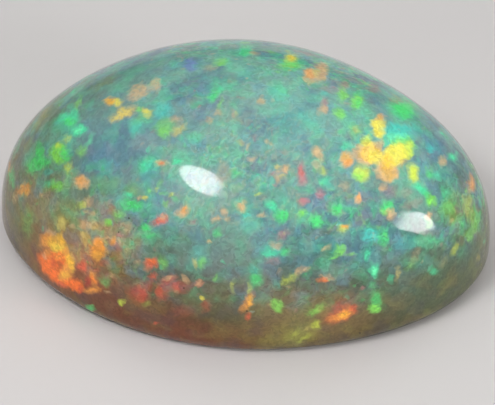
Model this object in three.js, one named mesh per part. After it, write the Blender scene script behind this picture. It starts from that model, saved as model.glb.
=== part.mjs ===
// A polished opal cabochon: one solid stone with a high dome over steep sides, an oval
// girdle a little above its base, a rounded lower edge, and a flat base that it rests on.
// Millimetres, +Z up. The origin is on the flat base, under the middle of the stone's
// length and width. The length runs along X and the width along Y.
import * as THREE from "three";

// Driving dimensions
const LENGTH = 14.0;
const WIDTH = 10.0;
const HEIGHT = 6.0;
const GIRDLE_HEIGHT = 0.63; // where the stone is widest, above the base
const BASE_SHARE = 0.95; // reach of the flat base, as a share of the girdle's reach

// Form of the girdle seen from above, as shares of its reach. With all at 0 it is an ellipse
const POINTEDNESS = 0.0146; // how much fuller it is along X and Y than between them
const LOBE = 0.021; // hand-cut unevenness, as three broad lobes round the girdle
const LOBE_TURN = THREE.MathUtils.degToRad(27);
const TAPER = 0.06; // how much wider it gets towards the +X end

// Form of the dome: a higher power gives steeper sides and a flatter top
const DOME_POWER = 2.4;
const TOP_SHIFT_X = 0.19; // how far the top of the dome stands off the middle
const TOP_SHIFT_Y = -0.46;

// Fineness of the faceted surface
const SEGMENTS = 96; // round the stone
const DOME_RINGS = 27;
const EDGE_RINGS = 5; // in the rounded lower edge
const BASE_RINGS = 2; // across the flat base

const OPAL_COLOUR = 0x6f9a90; // milky sea green, the mean of the body and its flashes
const OPAL_ROUGHNESS = 0.08;

// The stone's half section as points (reach, height), where the girdle's reach is 1: along
// the flat base from the middle, up the rounded lower edge, and over the dome to its top
function halfSection() {
  const points = [];
  for (let i = 0; i < BASE_RINGS; i++) {
    points.push(new THREE.Vector2((BASE_SHARE * i) / BASE_RINGS, 0));
  }
  for (let i = 0; i < EDGE_RINGS; i++) {
    const up = i / EDGE_RINGS;
    const drawnIn = (1 - BASE_SHARE) * (1 - up) ** 2;
    points.push(new THREE.Vector2(1 - drawnIn, GIRDLE_HEIGHT * up));
  }
  const domeHeight = HEIGHT - GIRDLE_HEIGHT;
  for (let i = 0; i < DOME_RINGS; i++) {
    const turn = ((Math.PI / 2) * i) / DOME_RINGS;
    const rise = Math.sin(turn) ** (2 / DOME_POWER);
    points.push(
      new THREE.Vector2(Math.cos(turn), GIRDLE_HEIGHT + domeHeight * rise),
    );
  }
  points.push(new THREE.Vector2(0, HEIGHT));
  return points;
}

// How far the girdle reaches at an angle round the stone, where a round one would reach 1
function girdleReach(angle) {
  const points = POINTEDNESS * (Math.cos(4 * angle) - 1);
  const lobes = LOBE * Math.cos(3 * angle + LOBE_TURN);
  return 1 + points + lobes;
}

// Pushes a round lathe's points out to the girdle's outline, before its width is narrowed
function shapeOutline(place) {
  for (let i = 0; i < place.count; i++) {
    const reach = girdleReach(Math.atan2(place.getY(i), place.getX(i)));
    const x = place.getX(i) * reach;
    const y = place.getY(i) * reach * (1 + TAPER * x);
    place.setXY(i, x, y);
  }
}

// Moves the dome's top off the middle, by a share that grows with the height
function leanDome(place) {
  const domeHeight = HEIGHT - GIRDLE_HEIGHT;
  for (let i = 0; i < place.count; i++) {
    const rise = Math.max(0, (place.getZ(i) - GIRDLE_HEIGHT) / domeHeight);
    const x = place.getX(i) + TOP_SHIFT_X * rise;
    const y = place.getY(i) + TOP_SHIFT_Y * rise;
    place.setXY(i, x, y);
  }
}

// Centres the stone on the origin and gives it its length and width
function fitLengthAndWidth(geometry) {
  geometry.computeBoundingBox();
  const centre = geometry.boundingBox.getCenter(new THREE.Vector3());
  const size = geometry.boundingBox.getSize(new THREE.Vector3());
  geometry.translate(-centre.x, -centre.y, 0);
  geometry.scale(LENGTH / size.x, WIDTH / size.y, 1);
}

// The lean carries the lower dome a hair past the girdle, so the size is set again after it
function opalGeometry() {
  const geometry = new THREE.LatheGeometry(halfSection(), SEGMENTS);
  geometry.rotateX(Math.PI / 2);
  const place = geometry.getAttribute("position");
  shapeOutline(place);
  fitLengthAndWidth(geometry);
  leanDome(place);
  fitLengthAndWidth(geometry);
  geometry.computeVertexNormals();
  return geometry;
}

const opal = new THREE.Mesh(
  opalGeometry(),
  new THREE.MeshStandardMaterial({
    color: OPAL_COLOUR,
    roughness: OPAL_ROUGHNESS,
    metalness: 0,
  }),
);
opal.name = "opal";

const part = new THREE.Group();
part.add(opal);

export default part;
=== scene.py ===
# The looks of a polished opal cabochon with play of colour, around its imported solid.
# Lengths are millimetres here, and the mesh, camera and lights are scaled to metres as they
# are made. Places in the photograph are pixels of its 495 x 405 frame, x right and y down.
import math
import random

import bpy
from mathutils import Matrix, Vector, noise
from mathutils.bvhtree import BVHTree
from mathutils.interpolate import poly_3d_calc


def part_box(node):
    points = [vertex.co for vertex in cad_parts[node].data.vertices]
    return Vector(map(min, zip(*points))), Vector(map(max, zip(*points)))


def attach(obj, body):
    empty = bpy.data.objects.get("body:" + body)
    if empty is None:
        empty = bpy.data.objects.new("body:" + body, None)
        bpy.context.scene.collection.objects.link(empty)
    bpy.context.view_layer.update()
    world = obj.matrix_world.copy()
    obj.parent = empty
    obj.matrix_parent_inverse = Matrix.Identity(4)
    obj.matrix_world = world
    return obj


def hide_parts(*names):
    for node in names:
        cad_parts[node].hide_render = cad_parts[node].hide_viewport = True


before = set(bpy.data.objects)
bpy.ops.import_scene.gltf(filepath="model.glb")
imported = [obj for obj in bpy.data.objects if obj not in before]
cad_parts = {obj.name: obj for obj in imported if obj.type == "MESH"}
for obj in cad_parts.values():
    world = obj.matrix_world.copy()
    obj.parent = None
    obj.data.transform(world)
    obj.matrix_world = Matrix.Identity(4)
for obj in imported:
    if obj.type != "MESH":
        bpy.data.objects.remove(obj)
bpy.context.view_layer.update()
scene = bpy.context.scene

MM = 0.001

# The camera, where the photograph was taken from
FRAME_WIDTH = 495
FRAME_HEIGHT = 405
AZIMUTH = math.radians(9.9)
ELEVATION = math.radians(41)
DISTANCE = 116.7
FOCAL_PIXELS = 4091
AIM_RIGHT = 0.056
AIM_UP = 0.978
SENSOR_WIDTH = 36.0
PIXELS_PER_MM = FOCAL_PIXELS / DISTANCE

# The stone's form, as in its solid
GIRDLE_HEIGHT = 0.63
BASE_SHARE = 0.95
POINTEDNESS = 0.0146
LOBE = 0.021
LOBE_TURN = math.radians(27)
TAPER = 0.06
DOME_POWER = 2.4
TOP_SHIFT = Vector((0.19, -0.46, 0))

# The surface's fineness. The rings of a stretch crowd towards its start where the power is
# above 1, and towards its end where it is below
SEGMENTS = 320
BASE_RINGS = 8
EDGE_RINGS = 14
DOME_RINGS = 110
BASE_CROWDING = 0.7
EDGE_CROWDING = 1.3
DOME_CROWDING = 1.15

# How far the base's rim is rounded off, and the share of the lower edge that this takes
RIM_ROUNDING = 0.012
ROUNDED_SHARE = 1 / 6

# How far the hand polish waves in from the true form, and the scales of its waves
BROAD_WAVES = 0.02
BROAD_SCALE = 0.33
SMALL_WAVES = 0.004
SMALL_SCALE = 1.3


def view_axes(azimuth, elevation):
    """Right, up and back, as seen by a camera on that side that looks down on the stone."""
    right = Vector((math.cos(azimuth), math.sin(azimuth), 0))
    back = Vector((
        math.sin(azimuth) * math.cos(elevation),
        -math.cos(azimuth) * math.cos(elevation),
        math.sin(elevation),
    ))
    return right, back.cross(right), back


RIGHT, UP, BACK = view_axes(AZIMUTH, ELEVATION)
PHOTO_AXES = (RIGHT, UP, BACK)
EYE = RIGHT * AIM_RIGHT + UP * AIM_UP + BACK * DISTANCE


def add_camera():
    data = bpy.data.cameras.new("camera")
    data.sensor_width = SENSOR_WIDTH
    data.lens = FOCAL_PIXELS * SENSOR_WIDTH / FRAME_WIDTH
    data.clip_start = 0.001
    data.clip_end = 10
    camera = bpy.data.objects.new("camera", data)
    turn = Matrix((RIGHT, UP, BACK)).transposed().to_4x4()
    camera.matrix_world = Matrix.Translation(EYE * MM) @ turn
    scene.collection.objects.link(camera)
    scene.camera = camera


# The stone's surface

def girdle_reach(angle):
    points = POINTEDNESS * (math.cos(4 * angle) - 1)
    lobes = LOBE * math.cos(3 * angle + LOBE_TURN)
    return 1 + points + lobes


def half_section(height):
    """(reach, height) pairs from the base outwards and up over the dome. 1 is the girdle."""
    flat = BASE_SHARE - RIM_ROUNDING
    section = [(flat * (i / BASE_RINGS) ** BASE_CROWDING, 0.0) for i in range(1, BASE_RINGS + 1)]
    for i in range(1, EDGE_RINGS):
        up = (i / EDGE_RINGS) ** EDGE_CROWDING
        drawn_in = (1 - BASE_SHARE) * (1 - up) ** 2
        rounded = RIM_ROUNDING * max(0, 1 - up / ROUNDED_SHARE) ** 2
        section.append((1 - drawn_in - rounded, GIRDLE_HEIGHT * up))
    for i in range(DOME_RINGS):
        turn = math.pi / 2 * (i / DOME_RINGS) ** DOME_CROWDING
        rise = math.sin(turn) ** (2 / DOME_POWER)
        section.append((math.cos(turn), GIRDLE_HEIGHT + (height - GIRDLE_HEIGHT) * rise))
    return section


def fit_length_and_width(points, low, high):
    """Moves and scales the points in X and Y until they fill the box."""
    for axis in (0, 1):
        least = min(p[axis] for p in points)
        most = max(p[axis] for p in points)
        scale = (high[axis] - low[axis]) / (most - least)
        for p in points:
            p[axis] = low[axis] + (p[axis] - least) * scale


def stone_points(low, high):
    """The middle of the base, the rings from there upwards, and the top."""
    height = high.z - low.z
    points = [Vector((0, 0, 0))]
    for reach, z in half_section(height):
        for i in range(SEGMENTS):
            angle = 2 * math.pi * i / SEGMENTS
            x = reach * girdle_reach(angle) * math.cos(angle)
            y = reach * girdle_reach(angle) * math.sin(angle)
            points.append(Vector((x, y * (1 + TAPER * x), z)))
    points.append(Vector((0, 0, height)))
    fit_length_and_width(points, low, high)
    for p in points:
        p += TOP_SHIFT * max(0, (p.z - GIRDLE_HEIGHT) / (height - GIRDLE_HEIGHT))
    fit_length_and_width(points, low, high)
    return points


def stone_faces(count):
    """Faces between the rings, and fans at the middle of the base and at the top."""
    rings = (count - 2) // SEGMENTS
    faces = []
    for i in range(SEGMENTS):
        j = (i + 1) % SEGMENTS
        faces.append((0, 1 + j, 1 + i))
        for r in range(rings - 1):
            a = 1 + r * SEGMENTS
            b = a + SEGMENTS
            faces.append((a + i, a + j, b + j, b + i))
        faces.append((count - 1 - SEGMENTS + i, count - 1 - SEGMENTS + j, count - 1))
    return faces


def hand_polish(mesh):
    """Draws the dome in by small uneven waves, and leaves the flat base as it is."""
    normals = [v.normal.copy() for v in mesh.vertices]
    for vertex, normal in zip(mesh.vertices, normals):
        p = vertex.co / MM
        share = min(1, p.z / GIRDLE_HEIGHT)
        broad = 0.5 + 0.5 * noise.noise(p * BROAD_SCALE)
        small = 0.5 + 0.5 * noise.noise(p * SMALL_SCALE)
        depth = share * (BROAD_WAVES * broad + SMALL_WAVES * small)
        vertex.co -= normal * depth * MM


def build_stone():
    low, high = (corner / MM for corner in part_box("opal"))
    points = stone_points(low, high)
    mesh = bpy.data.meshes.new("opal_stone")
    mesh.from_pydata([p * MM for p in points], [], stone_faces(len(points)))
    mesh.shade_smooth()
    hand_polish(mesh)
    stone = bpy.data.objects.new("opal_stone", mesh)
    scene.collection.objects.link(stone)
    return stone


class Surface:
    """Finds places on the stone that the photograph shows at a pixel."""

    def __init__(self, stone):
        self.mesh = stone.data
        corners = [v.co / MM for v in self.mesh.vertices]
        self.tree = BVHTree.FromPolygons(corners, [p.vertices for p in self.mesh.polygons])

    def cast(self, start, direction):
        """The first point that a ray meets, and the smooth surface's normal there."""
        point, _, index, _ = self.tree.ray_cast(start, direction)
        if point is None:
            raise ValueError(f"the ray from {start} along {direction} misses the stone")
        corners = [self.mesh.vertices[i] for i in self.mesh.polygons[index].vertices]
        shares = poly_3d_calc([c.co / MM for c in corners], point)
        normal = Vector((0, 0, 0))
        for corner, share in zip(corners, shares):
            normal += corner.normal * share
        return point, normal.normalized()

    def at_pixel(self, x, y):
        across = (x - FRAME_WIDTH / 2) / FOCAL_PIXELS
        down = (y - FRAME_HEIGHT / 2) / FOCAL_PIXELS
        direction = (RIGHT * across - UP * down - BACK).normalized()
        point, normal = self.cast(EYE, direction)
        return point, direction.reflect(normal)


# Colours of the flashes, as they look in the photograph

def shade(red, green, blue):
    """A colour from 0 to 255 as a linear colour with alpha, which the shader takes."""
    def linear(value):
        c = value / 255
        return c / 12.92 if c <= 0.04045 else ((c + 0.055) / 1.055) ** 2.4
    return (linear(red), linear(green), linear(blue), 1.0)


CRIMSON = shade(176, 62, 50)
RED = shade(208, 94, 66)
RUST = shade(172, 98, 54)
FLAME = shade(238, 116, 44)
ORANGE = shade(228, 152, 66)
AMBER = shade(192, 158, 88)
APRICOT = shade(200, 164, 118)
GOLD = shade(232, 178, 62)
STRAW = shade(202, 184, 98)
YELLOW = shade(216, 206, 82)
CITRUS = shade(192, 210, 78)
LIME = shade(124, 208, 86)
GREEN = shade(74, 204, 110)
MINT = shade(110, 232, 164)
JADE = shade(74, 206, 148)
TEAL = shade(70, 184, 168)
SKY = shade(86, 146, 170)
VIOLET = shade(108, 108, 188)
ROSE = shade(176, 112, 116)
TAN = shade(188, 160, 118)
OLIVE = shade(134, 136, 66)
MOSS = shade(74, 98, 80)
DEEP_TEAL = shade(64, 98, 96)
MAROON = shade(112, 64, 44)
SIENNA = shade(130, 104, 66)
DUSK = shade(70, 66, 78)
# A dark olive, used only for painted shade
PAINTED_SHADE_OLIVE = shade(64, 66, 30)
WHITE = shade(255, 255, 255)
BLACK = shade(0, 0, 0)

# The haze in the stone from its base up, at the -X end and in the rest, by height. Its
# darkening towards the base is partly the stone's browner body and partly painted shade
HAZE_TOP = 6.0
HAZE_AND_SHADE_LEFT = (
    (0.2, shade(80, 65, 38)),
    (1.2, shade(84, 74, 46)),
    (2.0, shade(98, 88, 58)),
    (3.0, shade(104, 97, 70)),
    (4.0, shade(92, 113, 91)),
    (5.0, shade(98, 132, 124)),
)
HAZE_AND_SHADE_RIGHT = (
    (0.2, shade(70, 61, 34)),
    (1.2, shade(75, 73, 46)),
    (2.0, shade(74, 81, 62)),
    (3.0, shade(70, 88, 78)),
    (4.0, shade(80, 113, 107)),
    (5.0, shade(104, 143, 136)),
    (5.9, shade(116, 164, 152)),
)
HAZE_BLUE = shade(84, 113, 130)
HAZE_MINT = shade(106, 172, 146)
HAZE_MAUVE = shade(130, 120, 128)
HAZE_SAND = shade(174, 156, 118)
# A pale haze, also used for painted glare and glints by the reflections
PALE_HAZE_AND_GLARE = shade(143, 175, 162)

# Where the haze changes over along X, and from what height up it has patches of other haze.
# A step is from one value to another, with what it gives at each
HAZE_CHANGE = (-5.5, 1.0)
HAZE_HIGH = (2.0, 4.4)
HAZE_PATCH_SCALE = 0.75
HAZE_UNEVENNESS = 0.8
HAZE_BLUE_STEP = (0.46, 0.62, 0.0, 0.7)
HAZE_MINT_STEP = (0.48, 0.64, 0.0, 0.55)

# Where the stone is calm, with few small flecks: x, y, width and height in pixels, turn in
# degrees anticlockwise, and strength
CALM_PLACES = (
    (120, 132, 150, 90, 30, 0.85),
    (130, 68, 100, 26, 30, 0.9),
    (28, 145, 110, 30, 60, 0.85),
    (62, 212, 100, 46, 0, 0.6),
    (70, 105, 130, 50, 30, 0.7),
    (200, 72, 130, 44, 0, 0.6),
    (420, 300, 150, 70, 30, 0.8),
    (225, 335, 300, 50, 0, 0.9),
    (220, 262, 150, 70, 0, 0.85),
    (330, 266, 120, 60, 0, 0.65),
    (410, 264, 110, 60, 0, 0.8),
    (428, 130, 120, 60, -30, 0.7),
    (20, 250, 40, 120, 0, 0.6),
    (292, 105, 110, 90, 0, 0.65),
    (203, 181, 56, 36, -30, 0.9),
    (413, 223, 50, 26, 0, 0.8),
    (82, 232, 54, 34, 0, 0.7),
    (200, 256, 34, 26, 0, 0.6),
    (245, 230, 30, 20, 0, 0.6),
    (414, 190, 34, 40, 0, 0.6),
)

# Where fine streaks cross the stone, in the same form
STREAKED_PLACES = (
    (262, 165, 150, 130, 0, 1.0),
    (200, 205, 90, 60, 0, 0.6),
)

# Where shade is painted on: the stone darkened towards both ends and at a few smaller places,
# in the same form
PAINTED_SHADE_PLACES = (
    (35, 178, 92, 124, 0, 0.4),
    (476, 225, 54, 130, 0, 0.3),
    (106, 92, 70, 38, 30, 0.2),
    (110, 262, 32, 38, 0, 0.35),
    (438, 276, 54, 34, 0, 0.25),
)

# Where fine scratches of the hand polish show, in the same form
SCRATCHED_PLACES = (
    (401, 213, 24, 12, 30, 1.0),
    (430, 232, 24, 12, 30, 1.0),
    (222, 190, 16, 24, 0, 0.5),
)

# How uneven the flashes' outlines are: pushes of cloudy noise, each its scale and its reach
ROUGH_RIMS = ((1.1, 0.05), (3.4, 0.05), (8.0, 0.03))

# How far a flash fades at its rim, the most of its half width that the fading takes, and
# how much of the fading is outside and inside its outline
RIM_FADE = 0.165
MOST_FADED = 1.4
FADED_OUTSIDE = 0.5
FADED_INSIDE = 0.6

# The same share for deep flashes, and for the places above
DEEP_FADED = 1.1
PLACE_FADED = 1.2

# Flashes deep in the stone, with soft edges, in the same form with a colour before strength.
# Two are painted light instead: glare round the left reflection, and shade low on the right
DEEP_FLASHES = (
    (135, 312, 190, 60, -30, MAROON, 0.75),
    (205, 342, 160, 40, 0, MAROON, 0.55),
    (310, 318, 130, 50, 0, SIENNA, 0.55),
    (240, 292, 120, 36, 0, SIENNA, 0.25),
    # Painted glare: a soft pale patch round the left reflection
    (200, 195, 80, 60, 0, PALE_HAZE_AND_GLARE, 0.45),
    (445, 268, 130, 90, 30, MOSS, 0.75),
    (125, 142, 120, 62, 30, HAZE_BLUE, 0.8),
    (225, 105, 60, 50, 30, HAZE_MAUVE, 0.3),
    (104, 81, 30, 10, 30, OLIVE, 0.5),
    (42, 116, 30, 10, 60, OLIVE, 0.5),
    (28, 145, 18, 8, 60, OLIVE, 0.35),
    (191, 65, 12, 12, 0, VIOLET, 0.55),
    (220, 62, 16, 9, 0, LIME, 0.4),
    (246, 52, 16, 12, 0, JADE, 0.6),
    (163, 111, 18, 15, 0, TEAL, 0.7),
    (136, 127, 13, 15, 0, TEAL, 0.6),
    (277, 90, 20, 16, 0, JADE, 0.5),
    (290, 65, 24, 14, 0, GREEN, 0.65),
    (403, 131, 32, 16, 0, TEAL, 0.85),
    (375, 142, 40, 24, 0, TEAL, 0.35),
    (310, 245, 22, 18, 0, TEAL, 0.4),
    (297, 118, 40, 26, 0, TEAL, 0.35),
    (108, 208, 15, 12, 0, CRIMSON, 0.6),
    (75, 238, 14, 26, 0, DUSK, 0.5),
    (111, 251, 12, 14, 0, DUSK, 0.5),
    (103, 271, 12, 13, 0, DUSK, 0.45),
    (60, 258, 72, 64, -30, RUST, 0.6),
    (94, 262, 46, 46, 0, RUST, 0.45),
    (78, 216, 70, 34, 0, OLIVE, 0.6),
    (96, 246, 50, 50, 0, APRICOT, 0.4),
    (40, 200, 40, 50, 0, TAN, 0.35),
    (28, 222, 10, 30, 0, LIME, 0.3),
    (20, 215, 12, 26, 0, OLIVE, 0.4),
    (456, 204, 20, 40, 0, OLIVE, 0.55),
    (456, 225, 14, 20, 0, LIME, 0.35),
    (147, 236, 20, 18, 0, JADE, 0.3),
    (138, 293, 20, 22, 0, CRIMSON, 0.6),
    (163, 291, 14, 18, 0, CRIMSON, 0.55),
    (178, 286, 26, 12, 0, CRIMSON, 0.45),
    (183, 311, 18, 12, 0, CRIMSON, 0.3),
    (100, 268, 50, 30, -30, CRIMSON, 0.3),
    (254, 278, 16, 18, 0, JADE, 0.3),
    (237, 299, 12, 24, 0, DEEP_TEAL, 0.4),
    (300, 334, 36, 20, 30, OLIVE, 0.7),
    (339, 311, 34, 22, 30, RED, 0.2),
    (371, 256, 18, 38, 0, TEAL, 0.25),
    (375, 301, 17, 22, 0, GREEN, 0.2),
    (406, 242, 24, 16, 0, TEAL, 0.35),
    (271, 252, 26, 18, 0, TEAL, 0.4),
    (273, 272, 18, 14, 0, HAZE_BLUE, 0.3),
    (403, 241, 22, 16, 0, SKY, 0.12),
    (337, 209, 24, 18, 0, JADE, 0.2),
    (404, 109, 28, 24, 0, GREEN, 0.6),
    (396, 99, 12, 9, 0, CRIMSON, 0.3),
    (374, 88, 12, 8, 0, CRIMSON, 0.25),
    (303, 53, 20, 7, 0, ROSE, 0.35),
    (330, 88, 18, 12, 0, ROSE, 0.3),
    (393, 192, 16, 12, 0, ROSE, 0.35),
    (407, 193, 12, 12, 0, ROSE, 0.3),
    (281, 205, 34, 12, 0, JADE, 0.15),
    (345, 264, 120, 54, 0, DEEP_TEAL, 0.15),
    (231, 249, 84, 42, 0, PALE_HAZE_AND_GLARE, 0.25),
    (236, 268, 90, 30, 0, HAZE_MAUVE, 0.15),
    # Painted shade: a dark olive patch low on the right
    (442, 300, 110, 44, 30, PAINTED_SHADE_OLIVE, 0.4),
    (283, 334, 60, 22, 30, OLIVE, 0.3),
    (205, 307, 11, 12, 0, CRIMSON, 0.4),
    (150, 165, 22, 16, 0, JADE, 0.5),
    (178, 158, 14, 14, 0, JADE, 0.25),
    (38, 158, 26, 26, 0, JADE, 0.4),
    (65, 124, 24, 22, 0, JADE, 0.4),
    (448, 154, 34, 40, -30, HAZE_BLUE, 0.35),
    (452, 190, 24, 40, 0, MOSS, 0.3),
    (104, 232, 60, 44, -30, RUST, 0.3),
    (80, 234, 44, 28, 0, SIENNA, 0.6),
    (107, 265, 34, 24, 0, MAROON, 0.55),
    (110, 248, 32, 30, 0, RUST, 0.25),
    (132, 246, 26, 20, 0, RUST, 0.3),
    (148, 142, 30, 20, 0, PALE_HAZE_AND_GLARE, 0.3),
    (225, 86, 30, 16, 0, JADE, 0.4),
    (104, 186, 34, 20, 0, LIME, 0.2),
    (335, 272, 30, 18, 0, PALE_HAZE_AND_GLARE, 0.25),
    (140, 190, 26, 14, 0, LIME, 0.3),
    (140, 120, 24, 14, 30, LIME, 0.3),
    (70, 180, 22, 20, 0, STRAW, 0.3),
    (165, 126, 20, 16, 0, LIME, 0.4),
    (362, 110, 20, 14, 0, JADE, 0.5),
    (446, 209, 16, 16, 0, LIME, 0.35),
    (426, 242, 26, 14, 0, JADE, 0.4),
    (118, 262, 34, 30, 0, OLIVE, 0.35),
)

# Flashes near the surface, with crisp edges, in the same form. Two are painted light: a thin
# pale tip of the left reflection, and a glint on a pit
NEAR_FLASHES = {}
NEAR_FLASHES["upper_left"] = (
    (68, 117, 20, 9, 0, JADE, 0.8),
    (69, 121, 11, 9, 0, GREEN, 0.85),
    (74, 110, 9, 12, 30, JADE, 0.5),
    (80, 102, 6, 12, -30, LIME, 0.45),
    (79, 130, 15, 11, 0, JADE, 0.9),
    (77, 129, 8, 6, 0, MINT, 0.6),
    (67, 139, 10, 6, 30, CITRUS, 0.45),
    (81, 151, 8, 11, 0, LIME, 0.55),
    (89, 141, 15, 5, 60, MINT, 0.35),
    (59, 154, 20, 19, 0, LIME, 0.95),
    (66, 154, 12, 14, 0, GREEN, 0.8),
    (59, 146, 6, 6, 0, CITRUS, 0.6),
    (38, 163, 22, 11, 0, GREEN, 1.0),
    (32, 167, 8, 11, 0, GREEN, 0.95),
    (39, 152, 9, 17, 0, GREEN, 0.95),
    (48, 173, 7, 7, 0, TEAL, 0.5),
    (68, 168, 10, 9, 0, CITRUS, 0.65),
    (50, 184, 10, 6, 0, JADE, 0.6),
    (57, 186, 12, 9, 0, LIME, 0.85),
    (23, 190, 15, 11, 0, ORANGE, 0.85),
    (16, 197, 7, 8, 0, APRICOT, 0.5),
    (13, 178, 5, 17, 0, GREEN, 0.7),
    (10, 168, 4, 12, 0, ORANGE, 0.5),
    (83, 183, 14, 13, 0, APRICOT, 0.9),
    (82, 182, 8, 8, 0, ORANGE, 0.6),
    (43, 196, 6, 5, 0, APRICOT, 0.7),
    (88, 201, 9, 8, 0, APRICOT, 0.6),
    (82, 204, 8, 7, 0, CITRUS, 0.5),
    (110, 101, 9, 8, 0, GOLD, 0.85),
    (118, 102, 9, 8, 0, YELLOW, 0.95),
    (123, 113, 25, 11, 30, STRAW, 0.9),
    (146, 112, 10, 7, -30, YELLOW, 0.75),
    (139, 109, 6, 6, 0, LIME, 0.6),
    (138, 91, 24, 14, 30, APRICOT, 0.65),
    (156, 85, 11, 12, 0, APRICOT, 0.55),
    (175, 120, 12, 7, 0, APRICOT, 0.45),
    (179, 130, 14, 9, 30, STRAW, 0.55),
    (165, 133, 12, 12, 0, LIME, 0.55),
    (213, 95, 8, 15, -30, GREEN, 0.7),
    (220, 90, 7, 8, 0, JADE, 0.6),
    (220, 104, 12, 4, 60, LIME, 0.4),
    (211, 68, 14, 6, 0, TAN, 0.35),
    (221, 63, 10, 6, 0, LIME, 0.45),
    (217, 113, 7, 5, 30, APRICOT, 0.45),
    (209, 120, 5, 8, 0, TAN, 0.55),
    (234, 114, 6, 6, 0, APRICOT, 0.4),
    (246, 52, 9, 7, 0, GREEN, 0.5),
)

NEAR_FLASHES["upper_right"] = (
    (290, 57, 14, 10, 0, CITRUS, 0.8),
    (291, 57, 8, 6, 0, GOLD, 0.5),
    (290, 65, 16, 7, 0, LIME, 0.6),
    (310, 75, 13, 14, 0, APRICOT, 0.85),
    (309, 74, 8, 8, 0, ORANGE, 0.5),
    (323, 69, 11, 15, 0, APRICOT, 0.85),
    (320, 77, 12, 8, 0, APRICOT, 0.75),
    (316, 73, 7, 6, 30, STRAW, 0.6),
    (261, 100, 6, 7, 0, TAN, 0.7),
    (342, 95, 12, 12, 0, LIME, 0.7),
    (345, 86, 8, 7, 0, ROSE, 0.5),
    (356, 102, 13, 14, 0, LIME, 0.75),
    (357, 104, 9, 8, 0, GREEN, 0.6),
    (356, 94, 10, 6, 0, GREEN, 0.45),
    (340, 113, 11, 10, 0, LIME, 0.7),
    (324, 109, 8, 9, 30, APRICOT, 0.75),
    (327, 103, 6, 7, 0, ROSE, 0.5),
    (404, 110, 19, 16, 0, GREEN, 0.8),
    (379, 127, 15, 20, 0, YELLOW, 0.9),
    (380, 117, 10, 5, 0, ORANGE, 0.5),
    (379, 130, 11, 13, 0, YELLOW, 0.7),
    (355, 131, 10, 14, 0, LIME, 0.5),
    (355, 130, 6, 8, 0, TAN, 0.5),
    (367, 141, 8, 9, 0, CITRUS, 0.7),
    (378, 145, 8, 8, 0, APRICOT, 0.6),
    (396, 130, 26, 13, 0, TEAL, 0.7),
    (397, 137, 22, 8, 0, MINT, 0.5),
    (403, 147, 25, 22, 30, LIME, 0.65),
    (387, 170, 22, 25, 0, APRICOT, 0.9),
    (388, 171, 14, 20, 0, AMBER, 1.0),
    (367, 154, 25, 21, 0, APRICOT, 0.75),
    (366, 163, 11, 8, 0, APRICOT, 0.6),
    (370, 153, 19, 18, 0, GOLD, 0.75),
    (369, 153, 17, 14, 0, STRAW, 0.5),
    (380, 144, 7, 7, 0, TAN, 0.4),
    (376, 157, 15, 14, 0, YELLOW, 0.7),
    (366, 144, 11, 7, 0, CITRUS, 0.5),
    (396, 154, 32, 20, 30, YELLOW, 0.9),
    (387, 161, 13, 14, 0, GOLD, 0.5),
    (409, 147, 9, 15, 0, CITRUS, 0.6),
    (403, 163, 12, 7, 30, AMBER, 0.5),
    (347, 146, 13, 8, 0, JADE, 0.5),
    (348, 159, 13, 15, 0, APRICOT, 0.9),
    (348, 158, 9, 10, 0, AMBER, 0.9),
    (348, 163, 8, 8, 0, ORANGE, 0.6),
    (361, 174, 14, 13, 0, CITRUS, 0.8),
    (358, 176, 9, 8, 0, LIME, 0.7),
    (414, 174, 10, 18, 0, CITRUS, 0.95),
    (317, 152, 11, 12, 0, APRICOT, 0.8),
    (322, 158, 8, 9, 0, TAN, 0.5),
    (325, 180, 12, 9, 0, JADE, 0.55),
    (324, 170, 9, 7, 0, CITRUS, 0.5),
    (318, 165, 7, 6, 0, TAN, 0.5),
    (267, 141, 6, 5, 0, TAN, 0.5),
    (272, 144, 5, 5, 0, TAN, 0.45),
    (285, 150, 7, 6, 0, ROSE, 0.35),
    (240, 142, 6, 5, 0, TAN, 0.45),
    (254, 138, 5, 7, 0, ROSE, 0.3),
    (251, 159, 6, 5, 0, APRICOT, 0.45),
    (248, 146, 5, 7, 0, TAN, 0.4),
    (286, 169, 8, 6, 30, APRICOT, 0.85),
    (279, 178, 6, 7, 0, APRICOT, 0.6),
    (284, 176, 5, 4, 0, STRAW, 0.5),
    (274, 174, 5, 5, 0, ROSE, 0.5),
    (276, 184, 5, 4, 0, ROSE, 0.4),
    (278, 167, 6, 4, 0, STRAW, 0.55),
    (279, 172, 5, 4, 0, TAN, 0.55),
    (302, 173, 8, 18, 0, ROSE, 0.85),
    (302, 171, 6, 8, 0, RED, 0.35),
    (320, 193, 8, 10, 0, ROSE, 0.65),
    (304, 202, 9, 6, 0, ROSE, 0.85),
    (358, 199, 9, 9, 0, APRICOT, 0.95),
    (359, 197, 5, 5, 0, ORANGE, 0.5),
    (383, 189, 6, 8, 0, APRICOT, 0.7),
    (412, 204, 20, 8, 30, ROSE, 0.3),
    (421, 189, 14, 7, -30, JADE, 0.85),
    (428, 194, 7, 7, 0, GREEN, 0.6),
    (431, 201, 9, 9, 0, LIME, 0.9),
    (443, 160, 8, 9, 0, TAN, 0.75),
    (454, 157, 8, 9, 0, JADE, 0.8),
    (431, 148, 9, 8, 0, TEAL, 0.7),
    (438, 176, 12, 10, 0, JADE, 0.45),
    (430, 174, 7, 7, 0, GREEN, 0.5),
    (471, 183, 8, 16, 0, ORANGE, 0.7),
    (469, 207, 10, 24, 0, CITRUS, 0.45),
    (475, 223, 10, 18, 0, LIME, 0.6),
    (469, 234, 9, 16, 0, LIME, 0.5),
    (456, 250, 12, 5, 60, CITRUS, 0.45),
)

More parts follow.
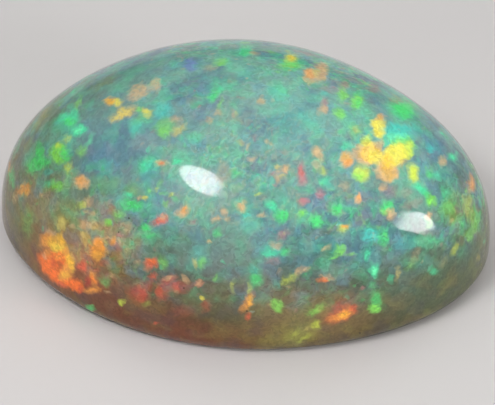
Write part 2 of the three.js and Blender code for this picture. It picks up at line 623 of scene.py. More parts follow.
NEAR_FLASHES["middle"] = (
    (336, 209, 10, 10, 0, GREEN, 0.8),
    (389, 208, 13, 11, 30, GREEN, 0.75),
    (384, 213, 8, 6, 0, LIME, 0.5),
    (271, 205, 12, 10, 0, JADE, 0.8),
    (281, 214, 15, 12, 0, GREEN, 0.8),
    (303, 214, 8, 7, 0, LIME, 0.75),
    (316, 221, 11, 12, 0, GREEN, 0.85),
    (260, 214, 8, 6, 0, APRICOT, 0.55),
    (343, 229, 8, 9, 0, CITRUS, 0.5),
    (345, 226, 6, 5, 0, ORANGE, 0.7),
    (390, 214, 8, 8, 0, APRICOT, 0.8),
    (430, 215, 6, 8, 0, APRICOT, 0.8),
    (176, 162, 9, 8, 0, JADE, 0.8),
    # Painted highlight: a thin pale line that carries on from the left reflection's tip
    (172, 166, 12, 3, -30, PALE_HAZE_AND_GLARE, 0.6),
    (161, 164, 10, 6, 0, APRICOT, 0.9),
    (161, 164, 6, 4, 0, RED, 0.5),
    (146, 166, 11, 9, 0, JADE, 0.6),
    (132, 205, 18, 10, 0, GREEN, 0.8),
    (129, 196, 9, 7, 0, JADE, 0.7),
    (145, 197, 6, 5, 0, YELLOW, 0.8),
    (139, 197, 5, 4, 0, APRICOT, 0.5),
    (119, 214, 12, 8, 0, LIME, 0.45),
    (108, 222, 7, 6, 0, LIME, 0.85),
    (90, 224, 13, 9, 0, APRICOT, 0.6),
    (83, 224, 8, 7, 0, APRICOT, 0.65),
    (127, 226, 11, 7, 0, TAN, 0.5),
    (146, 227, 10, 8, 0, GREEN, 0.85),
    (149, 236, 11, 7, 0, GREEN, 0.5),
    (160, 219, 18, 9, 30, ROSE, 0.7),
    (160, 219, 15, 7, 30, RED, 0.7),
    (163, 216, 9, 5, 30, APRICOT, 0.6),
    (183, 210, 12, 7, 30, APRICOT, 0.95),
    (184, 208, 7, 4, 30, ORANGE, 0.6),
    (242, 205, 9, 8, 30, APRICOT, 0.95),
    (216, 219, 8, 5, 30, APRICOT, 0.8),
    (225, 211, 6, 7, 0, APRICOT, 0.6),
    (227, 218, 7, 5, 0, TAN, 0.5),
    (245, 214, 7, 5, 0, TEAL, 0.7),
    (236, 174, 10, 6, -30, GREEN, 0.45),
    (225, 174, 13, 22, 0, HAZE_SAND, 0.35),
    (259, 194, 7, 3, 30, CITRUS, 0.4),
    (150, 190, 5, 4, 0, LIME, 0.45),
    (157, 188, 6, 4, 30, CITRUS, 0.45),
    (163, 193, 5, 4, 0, LIME, 0.4),
    (173, 195, 7, 4, 30, CITRUS, 0.5),
    (167, 203, 5, 6, 30, LIME, 0.45),
    (176, 199, 5, 5, 0, GREEN, 0.4),
    (371, 235, 19, 14, 0, TEAL, 0.7),
    (383, 237, 10, 17, 0, GREEN, 0.6),
    (367, 256, 6, 8, 0, JADE, 0.75),
    (339, 250, 10, 9, 0, LIME, 0.8),
    (333, 257, 8, 4, 30, LIME, 0.5),
    (350, 254, 8, 4, 0, LIME, 0.45),
    (325, 248, 8, 4, 30, TAN, 0.6),
    (282, 233, 13, 9, 30, ROSE, 0.45),
    (276, 245, 9, 8, 0, APRICOT, 0.5),
    (271, 253, 15, 10, 0, JADE, 0.6),
    (273, 261, 13, 7, 0, ROSE, 0.35),
)

NEAR_FLASHES["lower_left"] = (
    (78, 274, 9, 15, 0, MAROON, 0.7),
    (88, 284, 7, 8, 0, MAROON, 0.6),
    (62, 223, 10, 13, 0, STRAW, 0.8),
    (51, 233, 10, 8, 0, APRICOT, 0.75),
    (57, 262, 28, 26, 0, FLAME, 0.65),
    (47, 240, 16, 14, 0, ORANGE, 0.8),
    (55, 241, 10, 12, 0, GOLD, 0.6),
    (62, 239, 12, 8, -60, GOLD, 0.95),
    (58, 247, 23, 11, -30, GOLD, 1.0),
    (58, 247, 14, 7, -30, YELLOW, 0.5),
    (66, 253, 10, 11, 0, ORANGE, 0.9),
    (70, 257, 9, 10, 0, GOLD, 0.75),
    (47, 254, 10, 10, 0, ORANGE, 0.7),
    (43, 258, 10, 15, 0, FLAME, 0.8),
    (46, 263, 9, 16, 0, FLAME, 0.95),
    (51, 271, 20, 10, -60, FLAME, 0.95),
    (61, 279, 20, 10, -30, FLAME, 0.95),
    (44, 254, 7, 7, 0, APRICOT, 0.5),
    (58, 259, 16, 14, 0, FLAME, 0.8),
    (59, 257, 9, 7, 0, ORANGE, 0.6),
    (53, 262, 5, 11, 0, CRIMSON, 0.4),
    (60, 265, 9, 5, -30, MAROON, 0.45),
    (70, 261, 10, 9, 0, GOLD, 0.95),
    (66, 268, 10, 8, 0, ORANGE, 0.95),
    (72, 266, 6, 10, 0, GOLD, 0.85),
    (66, 275, 15, 12, 0, ORANGE, 0.95),
    (65, 274, 9, 7, 0, GOLD, 0.7),
    (71, 282, 15, 9, 0, FLAME, 0.85),
    (78, 286, 13, 14, 0, FLAME, 0.9),
    (82, 289, 6, 8, 0, CRIMSON, 0.5),
    (62, 284, 14, 4, -30, RED, 0.6),
    (85, 236, 9, 12, 0, STRAW, 0.5),
    (83, 266, 10, 9, 0, RED, 0.85),
    (99, 249, 16, 23, 0, ORANGE, 1.0),
    (98, 255, 9, 8, 0, GOLD, 0.45),
    (114, 241, 7, 7, 0, ORANGE, 0.75),
    (121, 243, 8, 6, 0, APRICOT, 0.5),
    (116, 248, 7, 7, 0, ROSE, 0.4),
    (106, 263, 9, 5, 0, RED, 0.4),
    (94, 277, 8, 14, 0, ORANGE, 0.9),
    (94, 279, 5, 8, 0, FLAME, 0.6),
    (89, 280, 6, 9, 0, CRIMSON, 0.7),
    (92, 289, 14, 6, 0, ORANGE, 0.85),
    (114, 276, 8, 6, 0, APRICOT, 0.6),
    (106, 280, 11, 9, 0, GREEN, 0.4),
    (92, 308, 8, 6, 0, GREEN, 0.8),
    (120, 301, 6, 6, 0, CITRUS, 0.9),
    (151, 264, 15, 9, 30, RED, 0.75),
    (152, 262, 10, 6, 0, FLAME, 0.6),
    (164, 262, 8, 11, 0, LIME, 0.45),
    (152, 277, 9, 7, 0, RED, 0.6),
    (141, 293, 9, 15, 0, RED, 0.45),
    (149, 286, 8, 14, 0, CRIMSON, 0.4),
    (147, 303, 8, 6, 0, OLIVE, 0.8),
    (160, 293, 6, 12, 0, RED, 0.5),
    (169, 279, 14, 7, 30, RED, 0.45),
    (168, 278, 9, 4, 30, APRICOT, 0.6),
    (184, 278, 9, 4, -60, APRICOT, 0.5),
    (176, 287, 9, 7, 0, RED, 0.5),
    (198, 283, 8, 8, 0, RED, 0.4),
    (198, 283, 6, 6, 0, APRICOT, 0.45),
    (201, 260, 7, 10, 0, LIME, 0.5),
    (194, 261, 5, 8, 0, STRAW, 0.5),
    (203, 299, 5, 4, 0, YELLOW, 0.75),
    (216, 277, 5, 6, 0, LIME, 0.35),
    (233, 285, 4, 11, 0, CITRUS, 0.3),
    (209, 241, 6, 4, 0, APRICOT, 0.6),
    (156, 323, 6, 3, 0, RED, 0.6),
    (108, 237, 6, 4, 0, APRICOT, 0.5),
    (121, 235, 7, 5, 0, ROSE, 0.45),
    (128, 231, 6, 5, 0, TAN, 0.5),
    (118, 256, 5, 5, 0, APRICOT, 0.35),
    (125, 250, 6, 4, 30, TAN, 0.5),
    (122, 262, 6, 5, 0, ROSE, 0.3),
    (99, 269, 6, 5, 0, RED, 0.3),
    (111, 266, 5, 4, 0, APRICOT, 0.35),
    (73, 226, 5, 4, 0, TAN, 0.6),
    (93, 213, 6, 5, 0, APRICOT, 0.5),
    (86, 211, 5, 4, 0, TAN, 0.5),
    (96, 228, 6, 6, 0, AMBER, 0.5),
    (86, 243, 6, 8, 0, AMBER, 0.55),
    (107, 291, 5, 4, 0, TAN, 0.45),
)

NEAR_FLASHES["lower_right"] = (
    (253, 270, 8, 8, 0, TEAL, 0.4),
    (255, 280, 10, 11, 0, GREEN, 0.6),
    (249, 289, 5, 9, 0, CITRUS, 0.35),
    (246, 302, 17, 8, 60, ORANGE, 0.75),
    (249, 299, 9, 5, 60, GOLD, 0.5),
    (248, 316, 5, 8, 0, RED, 0.65),
    # Painted glint: a pale speck on the pit beside it
    (251, 311, 3, 3, 0, PALE_HAZE_AND_GLARE, 0.45),
    (278, 306, 13, 12, 0, LIME, 0.6),
    (284, 280, 7, 5, 30, CITRUS, 0.4),
    (292, 278, 13, 6, 30, CITRUS, 0.4),
    (299, 272, 8, 5, 60, APRICOT, 0.6),
    (305, 269, 9, 5, 0, APRICOT, 0.6),
    (323, 281, 10, 7, 0, FLAME, 0.6),
    (330, 278, 10, 6, 0, APRICOT, 0.5),
    (315, 310, 17, 7, 30, LIME, 0.55),
    (303, 339, 14, 4, 30, CITRUS, 0.3),
    (294, 334, 10, 4, 60, CITRUS, 0.25),
    (307, 329, 8, 5, 30, STRAW, 0.35),
    (317, 325, 9, 10, 0, CITRUS, 0.5),
    (341, 314, 27, 13, 30, RED, 0.5),
    (344, 313, 17, 9, 30, ORANGE, 0.75),
    (335, 319, 12, 6, 0, ORANGE, 0.6),
    (344, 314, 11, 6, 30, GOLD, 0.75),
    (353, 307, 8, 5, 30, RED, 0.6),
    (336, 306, 9, 6, 0, CRIMSON, 0.4),
    (374, 309, 11, 9, 0, LIME, 0.85),
    (376, 298, 11, 13, 0, GREEN, 0.5),
    (372, 285, 7, 8, 0, GREEN, 0.3),
    (374, 270, 10, 13, 0, JADE, 0.9),
    (374, 270, 6, 8, 0, MINT, 0.7),
    (391, 278, 7, 7, 0, JADE, 0.5),
    (432, 271, 8, 7, 0, JADE, 0.7),
    (399, 274, 5, 12, 0, STRAW, 0.45),
    (415, 257, 6, 16, -30, TAN, 0.25),
    (410, 266, 6, 12, -30, LIME, 0.2),
    (443, 262, 6, 12, -30, TAN, 0.2),
    (478, 257, 4, 8, 0, OLIVE, 0.6),
)

# Small pits in the polish, painted as dark spots that stand for the shade in them: x, y and
# size in pixels
PITS = (
    (129, 218, 2),
    (119, 232, 1.6),
    (184, 288, 1.8),
    (247, 311, 2),
    (360, 333, 2),
)
PAINTED_PIT_SHADE = shade(40, 34, 30)
PIT_STRENGTH = 0.7
PIT_FADED = 0.8

# Depth that a flash colours, from front to back, and that of a pit
FLASH_DEPTH = 5.0
PIT_DEPTH = 0.6

# Heights over which the amber band at the base gives way to the livelier stone
AMBER_BAND = (1.2, 3.0)

# Where the stone is busier by chance, and how far the broad patches follow that
BUSY_SCALE = 0.45
BUSY_STEP = (0.38, 0.62, 0.4, 1.0)
BUSY_PART = 0.6

# Soft patches on the haze: their scale, and their colours with the strength of each
BROAD_PATCHES = (1.7, ((JADE, 0.45), (SKY, 0.45), (HAZE_MAUVE, 0.35)))
SMALL_PATCHES = (3.4, ((GREEN, 0.35), (HAZE_SAND, 0.25), (HAZE_BLUE, 0.4)))
STREAKS = (1.0, ((HAZE_SAND, 0.2), (HAZE_MINT, 0.3), (HAZE_BLUE, 0.3)))
LOW_PATCHES = (1.6, ((SIENNA, 0.2), (OLIVE, 0.18), (DUSK, 0.25)))
PATCH_STEP = (0.46, 0.7)

# Stretch of the fine streaks: many changes across the way they rise, and few along it
STREAK_SCALE = (7.0, 3.5, 4.0)

# Small flecks: scale, share of the cells lit where it is busiest, size, strength and colours.
# Then the share of lit cells that show in full, and the least size as a share of the size
LARGER_FLECKS = (2.2, 0.4, 0.6, 0.65,
                 (JADE, GREEN, TEAL, JADE, LIME, APRICOT, GREEN, TEAL, ROSE))
SMALLER_FLECKS = (4.6, 0.5, 0.65, 0.38,
                  (GREEN, LIME, TAN, JADE, APRICOT, GREEN, TAN, JADE, ROSE))
FULLY_LIT = 0.5
LEAST_FLECK = 0.55

# The fine cracks that break up the near flashes, and the least cover of a group in them
CRACK_SCALE = 10.0
CRACK_STEP = (0.36, 0.54)
SOLID_COVER = 0.9
BROKEN_COVER = 0.68
SOLID_GROUPS = ("upper_right", "lower_left")

# The fine mosaic of cells all over: how far each strays from its brightness high and low on
# the stone, those heights, and how much further it strays where the stone is busy
MOSAIC_SCALE = 13.0
HIGH_SPREAD = 0.22
LOW_SPREAD = 0.38
SPREAD_HEIGHTS = (4.5, 3.3)
BUSY_SPREAD = 0.25

# The polish, its ripples, and its fine scratches with their stretch, and strengths as greys
POLISH_ROUGHNESS = 0.06
REFRACTION = 1.38
RIPPLE_SCALE = 9.0
RIPPLE_STRENGTH = 0.06
RIPPLE_DEPTH = 0.01
SCRATCH_SCALE = (4.0, 34.0, 12.0)
SCRATCH_DEPTH = 0.006
LEAST_SCRATCHED = (0.03, 0.03, 0.03, 1.0)
MOST_SCRATCHED = (0.35, 0.35, 0.35, 1.0)

# The milky inside: how much of the light it scatters, and how far, by red, green and blue
MILKINESS = 0.35
MILKY_REACH = 0.25
MILKY_SHARES = (1.0, 0.9, 0.75)

# How far white under a group of flashes would move them, so their rims follow what is there
UNDER_NUDGE = 0.02

# Flashes on the side that the photograph doesn't show, found by rays towards a middle. Each
# pair is the least and the most of a random choice
HIDDEN_FLASHES = 76
HIDDEN_SEED = 14
HIDDEN_AXES = view_axes(AZIMUTH + math.pi, ELEVATION)
HIDDEN_MIDDLE = Vector((0, 1.0, 1.2))
HIDDEN_START = 20
HIDDEN_MARGIN = 0.05
HIDDEN_LIFTS = (-3, 60)
HIDDEN_WIDTHS = (0.15, 0.55)
HIDDEN_PROPORTIONS = (0.6, 1.3)
HIDDEN_TURNS = (-60, -30, 0, 30, 60)
HIDDEN_STRENGTHS = (0.5, 0.95)
HIDDEN_FADED = (0.3, 0.7)
HIDDEN_COLOURS = (GREEN, JADE, LIME, JADE, GREEN, APRICOT, ORANGE, CITRUS, TEAL, RED, GOLD, ROSE)


# How far cloudy noise strays from its middle value
NOISE_SPAN = 0.25


class Graph:
    """Adds nodes to a node tree. An input is a socket to link, or a value to set."""

    def __init__(self, tree):
        self.nodes = tree.nodes
        self.links = tree.links
        self.nodes.clear()

    def add(self, kind, inputs, **settings):
        node = self.nodes.new(kind)
        for name, value in settings.items():
            setattr(node, name, value)
        for key, value in inputs.items():
            if isinstance(value, bpy.types.NodeSocket):
                self.links.new(value, node.inputs[key])
            else:
                node.inputs[key].default_value = value
        return node

    def maths(self, operation, *values):
        node = self.add("ShaderNodeMath", dict(enumerate(values)), operation=operation)
        return node.outputs[0]

    def vector(self, operation, *values):
        node = self.add("ShaderNodeVectorMath", dict(enumerate(values)), operation=operation)
        is_number = operation in ("DOT_PRODUCT", "DISTANCE")
        return node.outputs["Value" if is_number else "Vector"]

    def scaled(self, vector, scale):
        node = self.add("ShaderNodeVectorMath", {0: vector, 3: scale}, operation="SCALE")
        return node.outputs[0]

    def step(self, value, low, high, start=0.0, end=1.0):
        """A smooth step from start to end as the value goes from low to high."""
        inputs = {"Value": value, "From Min": low, "From Max": high,
                  "To Min": start, "To Max": end}
        node = self.add("ShaderNodeMapRange", inputs, interpolation_type="SMOOTHSTEP",
                        clamp=False)
        return node.outputs["Result"]

    def mix(self, share, first, second):
        """A mix of two colours. Its sockets go by number, because their names repeat."""
        inputs = {0: share, 6: first, 7: second}
        node = self.add("ShaderNodeMix", inputs, data_type="RGBA")
        return node.outputs[2]

    def noise(self, vector, scale, detail=2.0, offset=0.0):
        """Cloudy noise, as a colour and as a number from 0 to 1."""
        moved = self.vector("ADD", vector, (offset, offset, offset))
        inputs = {"Vector": moved, "Scale": scale, "Detail": detail}
        node = self.add("ShaderNodeTexNoise", inputs)
        return node.outputs["Color"], node.outputs["Fac"]

    def warped(self, vector, scale, reach, offset=0.0):
        """The vector pushed about by cloudy noise, by up to about the reach."""
        colour, _ = self.noise(vector, scale, detail=1.0, offset=offset)
        centred = self.vector("SUBTRACT", colour, (0.5, 0.5, 0.5))
        return self.vector("ADD", vector, self.scaled(centred, reach / NOISE_SPAN))

    def along(self, vector, axes):
        """The vector measured along three axes."""
        parts = [self.vector("DOT_PRODUCT", vector, tuple(axis)) for axis in axes]
        return self.add("ShaderNodeCombineXYZ", dict(enumerate(parts))).outputs[0]


def new_material(name):
    material = bpy.data.materials.new(name)
    material.use_nodes = True
    return material, Graph(material.node_tree)


# Turns of flashes, in degrees. One turned by 60 is taken as a tall one turned the other way
TURNS = (-30, 0, 30)


def turned_axes(axes, turn):
    """The axes turned anticlockwise by degrees, as seen against the last of them."""
    right, up, back = axes
    c = math.cos(math.radians(turn))
    s = math.sin(math.radians(turn))
    return right * c + up * s, up * c - right * s, back


class Flash:
    """An elliptic patch of colour in the stone, as it looks along the axes of its view."""

    def __init__(self, axes, point, size, turn, colour, strength, faded, depth=FLASH_DEPTH):
        width, height = size
        if abs(turn) == 60:
            turn = -turn // 2
            width, height = height, width
        self.turn = turn
        self.reach = (2 / width, 2 / height, 2 / depth)
        centre = [axis.dot(point) for axis in turned_axes(axes, turn)]
        self.centre = tuple(c * r for c, r in zip(centre, self.reach))
        self.colour = colour
        self.strength = strength
        self.faded = faded


def cover_with_flashes(graph, under, cover, places, name, flashes):
    """Adds a group of nodes that covers a colour with flashes, each with a faded rim."""
    tree = bpy.data.node_groups.new(name, "ShaderNodeTree")
    tree.interface.new_socket("Colour", in_out="INPUT", socket_type="NodeSocketColor")
    tree.interface.new_socket("Cover", in_out="INPUT", socket_type="NodeSocketFloat")
    for turn in TURNS:
        tree.interface.new_socket(f"Place {turn}", in_out="INPUT",
                                  socket_type="NodeSocketVector")
    tree.interface.new_socket("Colour", in_out="OUTPUT", socket_type="NodeSocketColor")
    g = Graph(tree)
    given = g.add("NodeGroupInput", {}).outputs
    colour = given[0]
    nudge = g.scaled(colour, UNDER_NUDGE)
    nudged = [g.vector("ADD", place, nudge) for place in given[2:len(TURNS) + 2]]
    for flash in flashes:
        place = nudged[TURNS.index(flash.turn)]
        distance = g.vector("DISTANCE", g.vector("MULTIPLY", place, flash.reach), flash.centre)
        outer = 1 + FADED_OUTSIDE * flash.faded
        inner = 1 - FADED_INSIDE * flash.faded
        share = g.step(distance, outer, inner, 0.0, flash.strength)
        colour = g.mix(share, colour, flash.colour)
    g.add("NodeGroupOutput", {0: g.mix(given[1], given[0], colour)})
    inputs = dict(enumerate((under, cover, *places)))
    return graph.add("ShaderNodeGroup", inputs, node_tree=tree).outputs[0]


def ramp(g, value, stops, interpolation="LINEAR"):
    """Colours at values from 0 to 1."""
    node = g.add("ShaderNodeValToRGB", {0: value})
    node.color_ramp.interpolation = interpolation
    elements = node.color_ramp.elements
    while len(elements) < len(stops):
        elements.new(1.0)
    for element, (position, colour) in zip(elements, stops):
        element.position = position
        element.color = colour
    return node.outputs[0]


def haze_and_shade_colour(g, p, height, along_x):
    """The milky body, greener and bluer with height, darker towards the base partly as painted
    shade, and with soft patches of other haze.
    """
    patches, _ = g.noise(p, HAZE_PATCH_SCALE, detail=3, offset=3)
    blue, green, grey = g.add("ShaderNodeSeparateColor", {0: patches}).outputs
    lift = g.maths("MULTIPLY_ADD", grey, 2 * HAZE_UNEVENNESS, -HAZE_UNEVENNESS)
    level = g.maths("DIVIDE", g.maths("ADD", height, lift), HAZE_TOP)
    left = ramp(g, level, [(z / HAZE_TOP, colour) for z, colour in HAZE_AND_SHADE_LEFT])
    right = ramp(g, level, [(z / HAZE_TOP, colour) for z, colour in HAZE_AND_SHADE_RIGHT])
    haze = g.mix(g.step(along_x, *HAZE_CHANGE), left, right)
    high = g.step(height, *HAZE_HIGH)
    blue_share = g.maths("MULTIPLY", high, g.step(blue, *HAZE_BLUE_STEP))
    haze = g.mix(blue_share, haze, HAZE_BLUE)
    mint_share = g.maths("MULTIPLY", high, g.step(green, *HAZE_MINT_STEP))
    return g.mix(mint_share, haze, HAZE_MINT)


def mottled(g, under, place, amount, patches):
    """Soft uneven patches of three colours, each from its own part of one cloudy noise."""
    scale, colours = patches
    clouds, _ = g.noise(place, scale, detail=1.5, offset=scale * 7)
    parts = g.add("ShaderNodeSeparateColor", {0: clouds}).outputs
    for part, (colour, strength) in zip(parts, colours):
        share = g.maths("MULTIPLY", g.step(part, *PATCH_STEP, 0.0, strength), amount)
        under = g.mix(share, under, colour)
    return under


def flecked(g, under, place, busy, flecks):
    """Covers some cells of a cell pattern with a patch of colour each."""
    scale, share, size, strength, colours = flecks
    lit = g.maths("MULTIPLY", busy, share)
    cell = g.add("ShaderNodeTexVoronoi", {"Vector": place, "Scale": scale})
    parts = g.add("ShaderNodeSeparateColor", {0: cell.outputs["Color"]}).outputs
    chosen = g.step(parts[0], lit, g.maths("MULTIPLY", lit, FULLY_LIT))
    least = size * LEAST_FLECK
    reach = g.maths("MULTIPLY_ADD", parts[1], size - least, least)
    nearness = g.maths("DIVIDE", cell.outputs["Distance"], reach)
    patch = g.step(nearness, 1.0, 0.0, 0.0, strength)
    stops = [(i / len(colours), colour) for i, colour in enumerate(colours)]
    tint = ramp(g, parts[2], stops, "CONSTANT")
    return g.mix(g.maths("MULTIPLY", patch, chosen), under, tint)


def faded_share(size):
    """The share of a flash's half width that a rim of the usual fading takes."""
    return min(MOST_FADED, RIM_FADE / (min(size) / 2))


def photo_flashes(surface, spots, faded=None):
    """Flashes that the photograph shows, put on the stone where their pixels are."""
    flashes = []
    for x, y, width, tall, turn, colour, strength in spots:
        point, _ = surface.at_pixel(x, y)
        size = (width / PIXELS_PER_MM, tall / PIXELS_PER_MM)
        flashes.append(Flash(PHOTO_AXES, point, size, turn, colour, strength,
                             faded or faded_share(size)))
    return flashes


def masks(surface, spots, colour):
    """Large soft patches in one colour, from places without a colour of their own."""
    coloured = [(*spot[:5], colour, spot[5]) for spot in spots]
    return photo_flashes(surface, coloured, PLACE_FADED)


def hidden_flashes(surface):
    """Flashes of the same kinds, scattered over the side that the photograph doesn't show."""
    rng = random.Random(HIDDEN_SEED)
    flashes = []
    for _ in range(HIDDEN_FLASHES):
        angle = rng.uniform(HIDDEN_MARGIN, math.pi - HIDDEN_MARGIN)
        lift = math.radians(rng.uniform(*HIDDEN_LIFTS))
        outward = Vector((math.cos(angle) * math.cos(lift), math.sin(angle) * math.cos(lift),
                          math.sin(lift)))
        point, normal = surface.cast(HIDDEN_MIDDLE + outward * HIDDEN_START, -outward)
        if normal.dot(BACK) > 0:
            continue
        width = rng.uniform(*HIDDEN_WIDTHS)
        size = (width, width * rng.uniform(*HIDDEN_PROPORTIONS))
        flashes.append(Flash(HIDDEN_AXES, point, size, rng.choice(HIDDEN_TURNS),
                             rng.choice(HIDDEN_COLOURS), rng.uniform(*HIDDEN_STRENGTHS),
                             rng.uniform(*HIDDEN_FADED)))
    return flashes


# Dark spots painted where the polish has pits, standing for the shade in them
def painted_pit_shades(surface):
    pits = []
    for x, y, size in PITS:
        point, _ = surface.at_pixel(x, y)
        width = size / PIXELS_PER_MM
        pits.append(Flash(PHOTO_AXES, point, (width, width), 0, PAINTED_PIT_SHADE, PIT_STRENGTH,
                          PIT_FADED, PIT_DEPTH))
    return pits


def opal_material(surface):
    material, g = new_material("opal_body")
    p = g.scaled(g.add("ShaderNodeTexCoord", {}).outputs["Object"], 1 / MM)
    along_x, _, height = g.add("ShaderNodeSeparateXYZ", {0: p}).outputs
    uneven = p
    for scale, reach in ROUGH_RIMS:
        uneven = g.warped(uneven, scale, reach, offset=scale * 5)
    seen = [g.along(uneven, turned_axes(PHOTO_AXES, turn)) for turn in TURNS]
    still = [g.along(p, turned_axes(PHOTO_AXES, turn)) for turn in TURNS]
    behind = [g.along(uneven, turned_axes(HIDDEN_AXES, turn)) for turn in TURNS]

    _, busy_noise = g.noise(p, BUSY_SCALE, offset=57)
    above_band = g.step(height, *AMBER_BAND)
    busy = g.maths("MULTIPLY", above_band, g.step(busy_noise, *BUSY_STEP))
    busy = cover_with_flashes(g, busy, 1.0, still, "calm_places",
                              masks(surface, CALM_PLACES, BLACK))
    even_part = g.maths("MULTIPLY", above_band, 1 - BUSY_PART)
    lively = g.maths("MULTIPLY_ADD", busy, BUSY_PART, even_part)
    streaked = cover_with_flashes(g, BLACK, 1.0, still, "streaked_places",
                                  masks(surface, STREAKED_PLACES, WHITE))
    _, cracks = g.noise(p, CRACK_SCALE, detail=1, offset=31)
    broken = g.step(cracks, *CRACK_STEP, BROKEN_COVER, 1.0)
    solid = g.step(cracks, *CRACK_STEP, SOLID_COVER, 1.0)

    # The haze, darker towards the base partly as painted shade
    colour = haze_and_shade_colour(g, p, height, along_x)
    colour = cover_with_flashes(g, colour, 1.0, seen, "deep_flashes",
                                photo_flashes(surface, DEEP_FLASHES, DEEP_FADED))
    colour = mottled(g, colour, uneven, lively, BROAD_PATCHES)
    colour = mottled(g, colour, uneven, busy, SMALL_PATCHES)
    colour = flecked(g, colour, uneven, busy, LARGER_FLECKS)
    colour = flecked(g, colour, uneven, busy, SMALLER_FLECKS)
    rising = g.vector("MULTIPLY", seen[0], STREAK_SCALE)
    colour = mottled(g, colour, rising, streaked, STREAKS)
    band = g.maths("SUBTRACT", 1.0, above_band)
    colour = mottled(g, colour, uneven, band, LOW_PATCHES)

    colour = cover_with_flashes(g, colour, solid, behind, "hidden_flashes",
                                hidden_flashes(surface))
    for name, spots in NEAR_FLASHES.items():
        cover = solid if name in SOLID_GROUPS else broken
        colour = cover_with_flashes(g, colour, cover, seen, name,
                                    photo_flashes(surface, spots))
    # Painted shade, darkening the stone towards its ends and at a few smaller places
    colour = cover_with_flashes(g, colour, 1.0, still, "painted_shade_places",
                                masks(surface, PAINTED_SHADE_PLACES, PAINTED_SHADE_OLIVE))
    cell = g.add("ShaderNodeTexVoronoi", {"Vector": uneven, "Scale": MOSAIC_SCALE})
    stray = g.maths("SUBTRACT", cell.outputs["Color"], 0.5)
    calm_spread = g.step(height, *SPREAD_HEIGHTS, HIGH_SPREAD, LOW_SPREAD)
    spread = g.maths("MULTIPLY_ADD", busy, BUSY_SPREAD, calm_spread)
    colour = g.scaled(colour, g.maths("MULTIPLY_ADD", stray, spread, 1.0))
    # Painted shade in the pits of the polish
    colour = cover_with_flashes(g, colour, 1.0, still, "painted_pit_shades", painted_pit_shades(surface))

    _, ripple = g.noise(p, RIPPLE_SCALE, detail=1)
    bump = g.add("ShaderNodeBump", {"Strength": RIPPLE_STRENGTH,
                                    "Distance": RIPPLE_DEPTH * MM, "Height": ripple})
    _, scratches = g.noise(g.vector("MULTIPLY", still[2], SCRATCH_SCALE), 1.0, offset=9)
    scratched = cover_with_flashes(g, LEAST_SCRATCHED, 1.0, still, "scratched_places",
                                   masks(surface, SCRATCHED_PLACES, MOST_SCRATCHED))
    bump = g.add("ShaderNodeBump", {"Strength": scratched, "Distance": SCRATCH_DEPTH * MM,
                                    "Height": scratches, "Normal": bump.outputs[0]})
    shader = g.add("ShaderNodeBsdfPrincipled", {
        "Base Color": colour,
        "Roughness": POLISH_ROUGHNESS,
        "IOR": REFRACTION,
        "Subsurface Weight": MILKINESS,
        "Subsurface Radius": MILKY_SHARES,
        "Subsurface Scale": MILKY_REACH * MM,
        "Normal": bump.outputs[0],
    })
    g.add("ShaderNodeOutputMaterial", {"Surface": shader.outputs[0]})
    return material


# The floor and the light

FLOOR_SIZE = 2.0
FLOOR_GAP = 0.01
FLOOR_COLOUR = (0.5, 0.49, 0.475, 1.0)
FLOOR_ROUGHNESS = 0.75
LIGHT_DISTANCE = 60
KEY_RADIANCE = 21
KEY_COLOUR = (1.0, 0.95, 0.98, 1.0)
OVERHEAD_AXES = view_axes(0, math.pi / 2)
OVERHEAD_SIZE = 160
OVERHEAD_HEIGHT = 140
OVERHEAD_WATTS = 0.082
FILL_AZIMUTHS = (-35, 55, 145, 235)
FILL_ELEVATION = math.radians(14)
FILL_DISTANCE = 130
FILL_SIZE = 60
FILL_WATTS = 0.05
WORLD_COLOUR = (0.95, 0.97, 1.0, 1.0)
WORLD_RISE = (0.0, 0.8)
HORIZON_STRENGTH = 0.07
ZENITH_STRENGTH = 0.36

# Outlines of the two reflections in the polish, in pixels, and their faint and bright ends
LEAF_REFLECTION = (
    (180, 167), (187, 165), (195, 166), (205, 169), (214, 174), (221, 181), (226, 189),
    (226, 197), (213, 196), (202, 193), (191, 188), (184, 181), (180, 173),
)
LEAF_ENDS = ((225, 188), (214, 186))
OVAL_REFLECTION = (
    (393, 217), (403, 212), (411, 212), (418, 212), (427, 215), (433, 221),
    (434, 227), (427, 232), (417, 233), (409, 231), (399, 229), (393, 224),
)
OVAL_ENDS = ((393, 219), (409, 222))
FAINT_END = 0.16


def add_floor():
    half = FLOOR_SIZE / 2
    mesh = bpy.data.meshes.new("floor")
    corners = [(-half, -half, 0), (half, -half, 0), (half, half, 0), (-half, half, 0)]
    mesh.from_pydata(corners, [], [(0, 1, 2, 3)])
    floor = bpy.data.objects.new("floor", mesh)
    floor.location.z = -FLOOR_GAP * MM
    scene.collection.objects.link(floor)
    material, g = new_material("floor")
    shader = g.add("ShaderNodeBsdfPrincipled", {
        "Base Color": FLOOR_COLOUR, "Roughness": FLOOR_ROUGHNESS})
    g.add("ShaderNodeOutputMaterial", {"Surface": shader.outputs[0]})
    mesh.materials.append(material)


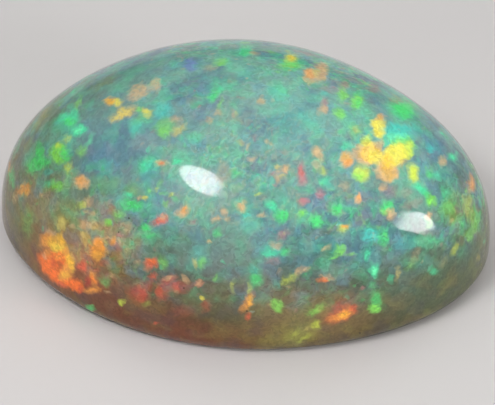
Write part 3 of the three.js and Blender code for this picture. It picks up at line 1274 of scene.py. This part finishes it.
def add_key_light(surface, name, outline, ends):
    """A flat soft light whose reflection in the stone fills the outline."""
    hits = [surface.at_pixel(x, y) for x, y in outline]
    middle = sum((point for point, _ in hits), Vector()) / len(hits)
    facing = sum((direction for _, direction in hits), Vector()).normalized()
    centre = middle + facing * LIGHT_DISTANCE

    def on_light(point, direction):
        return point + direction * ((centre - point).dot(facing) / direction.dot(facing))

    mesh = bpy.data.meshes.new(name)
    corners = [on_light(point, direction) * MM for point, direction in hits]
    mesh.from_pydata(corners, [], [tuple(range(len(corners)))])
    light = bpy.data.objects.new(name, mesh)
    light.visible_camera = False
    light.visible_shadow = False
    scene.collection.objects.link(light)

    faint, bright = (on_light(*surface.at_pixel(x, y)) for x, y in ends)
    along = (bright - faint).normalized()
    material, g = new_material(name)
    place = g.scaled(g.add("ShaderNodeTexCoord", {}).outputs["Object"], 1 / MM)
    strength = g.step(g.vector("DOT_PRODUCT", place, tuple(along)), faint.dot(along),
                      bright.dot(along), KEY_RADIANCE * FAINT_END, KEY_RADIANCE)
    emission = g.add("ShaderNodeEmission", {"Color": KEY_COLOUR, "Strength": strength})
    g.add("ShaderNodeOutputMaterial", {"Surface": emission.outputs[0]})
    mesh.materials.append(material)


def add_soft_light(name, size, watts, axes, distance):
    """A square light that faces the stone, and that the polish doesn't mirror."""
    data = bpy.data.lights.new(name, "AREA")
    data.size = size * MM
    data.energy = watts
    light = bpy.data.objects.new(name, data)
    turn = Matrix(axes).transposed().to_4x4()
    light.matrix_world = Matrix.Translation(axes[2] * distance * MM) @ turn
    light.visible_glossy = False
    scene.collection.objects.link(light)


def set_world():
    """Light from all round, dimmer towards the horizon."""
    world = bpy.data.worlds.new("studio")
    scene.world = world
    world.use_nodes = True
    g = Graph(world.node_tree)
    direction = g.add("ShaderNodeTexCoord", {}).outputs["Generated"]
    _, _, rise = g.add("ShaderNodeSeparateXYZ", {0: direction}).outputs
    strength = g.step(rise, *WORLD_RISE, HORIZON_STRENGTH, ZENITH_STRENGTH)
    background = g.add("ShaderNodeBackground", {"Color": WORLD_COLOUR, "Strength": strength})
    g.add("ShaderNodeOutputWorld", {"Surface": background.outputs[0]})
    scene.view_settings.view_transform = "Standard"


add_camera()
stone = build_stone()
surface = Surface(stone)
stone.data.materials.append(opal_material(surface))
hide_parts("opal")
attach(stone, "root")

add_floor()
add_key_light(surface, "key_left", LEAF_REFLECTION, LEAF_ENDS)
add_key_light(surface, "key_right", OVAL_REFLECTION, OVAL_ENDS)
add_soft_light("overhead", OVERHEAD_SIZE, OVERHEAD_WATTS, OVERHEAD_AXES, OVERHEAD_HEIGHT)
for number, azimuth in enumerate(FILL_AZIMUTHS):
    fill_axes = view_axes(math.radians(azimuth), FILL_ELEVATION)
    add_soft_light(f"fill_{number}", FILL_SIZE, FILL_WATTS, fill_axes, FILL_DISTANCE)
set_world()
